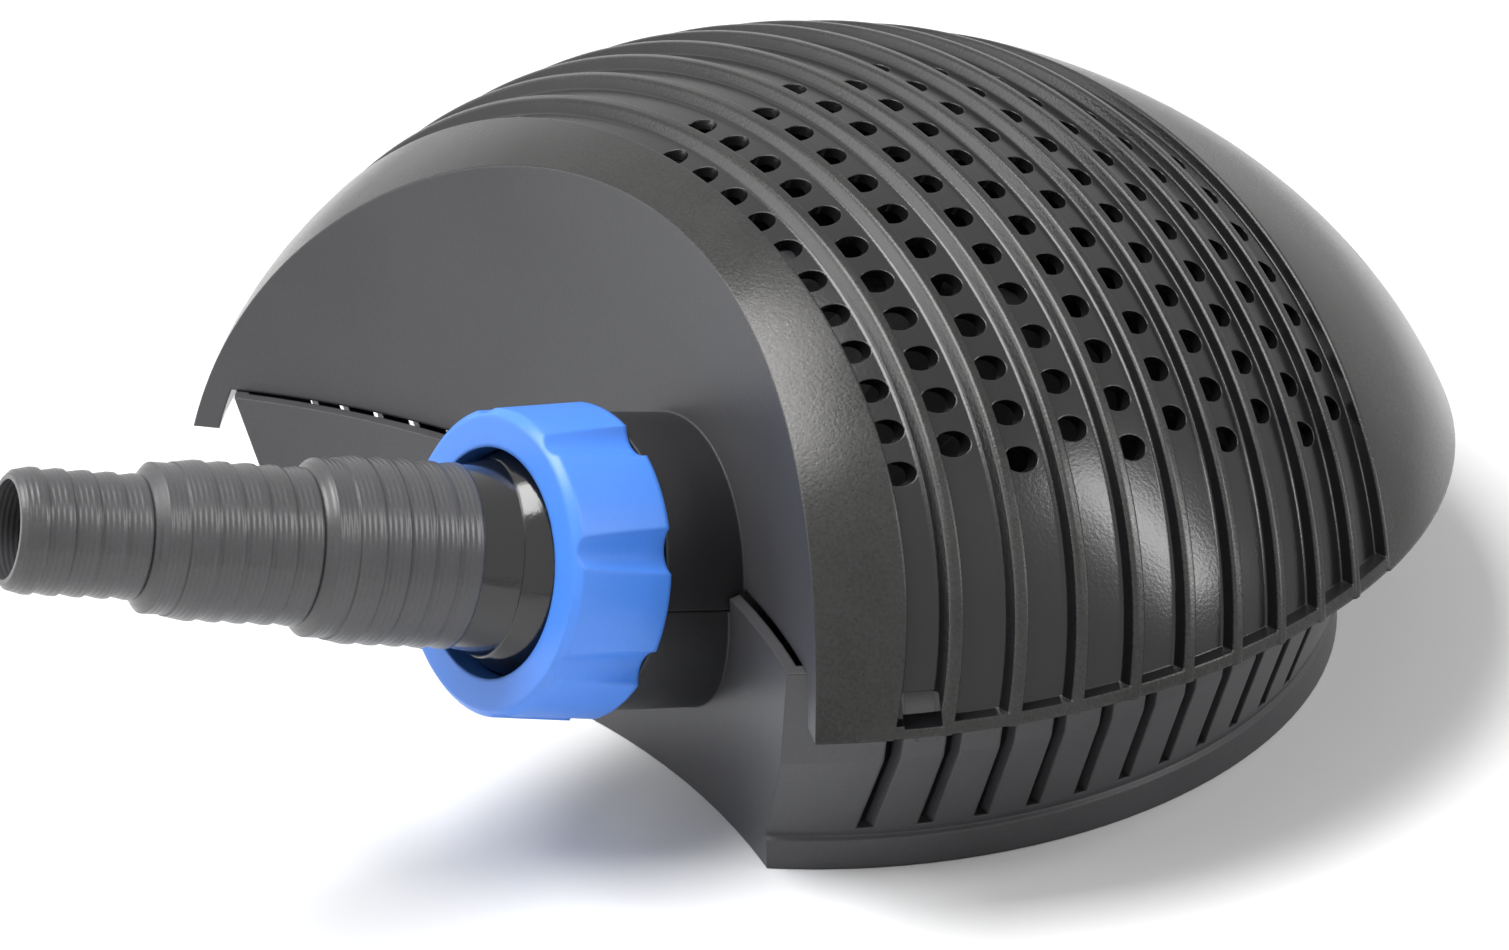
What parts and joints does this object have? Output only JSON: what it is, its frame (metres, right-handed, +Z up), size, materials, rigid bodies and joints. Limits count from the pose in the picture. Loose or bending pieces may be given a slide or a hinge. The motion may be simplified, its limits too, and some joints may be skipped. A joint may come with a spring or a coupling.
{
  "type": "pond pump",
  "caption": "Pond filter pump in a ribbed, perforated strainer cage with a ball-jointed, stepped hose tail held by a fluted union nut.",
  "frame": {"origin": "on the floor plane, under the centre of the strainer dome", "axes": "+Z up, -Y towards the outlet and the hose tail, X across the cage"},
  "size_m": [0.3046, 0.3394, 0.127],
  "materials": {
    "shell_black": "black moulded plastic with a fine satin grain",
    "base_grey": "charcoal moulded plastic, matte",
    "nut_blue": "bright blue moulded plastic, satin",
    "tail_black": "black plastic with fine turned rings",
    "pump_grey": "dark grey moulded plastic",
    "motor_black": "black potted motor housing",
    "impeller_white": "pale grey moulded plastic",
    "rubber_black": "soft black rubber",
    "steel": "stainless steel",
    "lamination": "stacked steel laminations",
    "copper": "enamelled copper wire",
    "ceramic": "fine white ceramic",
    "ferrite": "dark grey ferrite magnet"
  },
  "bodies": {
    "base": {"lower_shell": "base_grey", "rubber_feet": "rubber_black", "outlet_spigot": "shell_black", "spigot_seal": "rubber_black", "volute": "pump_grey", "volute_cover": "pump_grey", "cover_screws": "steel", "chamber_seal": "rubber_black", "motor_can": "motor_black", "stator_core": "lamination", "coil_windings": "copper", "can_lid": "motor_black", "bearing_plate": "pump_grey", "front_bush": "ceramic", "rear_bush": "ceramic", "motor_cradle": "base_grey", "cradle_pad": "rubber_black", "cradle_screws": "steel", "motor_strap": "steel", "cable_gland": "rubber_black"},
    "rotor": {"ceramic_shaft": "ceramic", "rotor_magnet": "ferrite", "thrust_washers": "steel", "impeller": "impeller_white"},
    "cover": {"upper_shell": "shell_black"},
    "nut": {"union_nut": "nut_blue"},
    "swivel": {"slip_ring": "rubber_black"},
    "tail": {"hose_tail": "tail_black"}
  },
  "joints": [
    {"name": "rotor_spin", "type": "hinge", "parent": "base", "child": "rotor", "pos_m": [0.04, 0.00057, 0.04651], "axis": [1, 0, 0], "continuous": true},
    {"name": "nut_turn", "type": "hinge", "parent": "base", "child": "nut", "pos_m": [0.04, -0.09366, 0.05953], "axis": [0, -0.9397, 0.342], "continuous": true},
    {"name": "tail_swivel", "type": "hinge", "parent": "base", "child": "swivel", "pos_m": [0.04, -0.09366, 0.05953], "axis": [0, -0.9397, 0.342], "continuous": true},
    {"name": "tail_tilt", "type": "hinge", "parent": "swivel", "child": "tail", "pos_m": [0.04, -0.09366, 0.05953], "axis": [0, 0.342, 0.9397], "range_deg": [0, 24]},
    {"name": "cover_lift", "type": "slide", "parent": "base", "child": "cover", "axis": [0, 0.342, 0.9397], "range_m": [0, 0.12]}
  ]
}
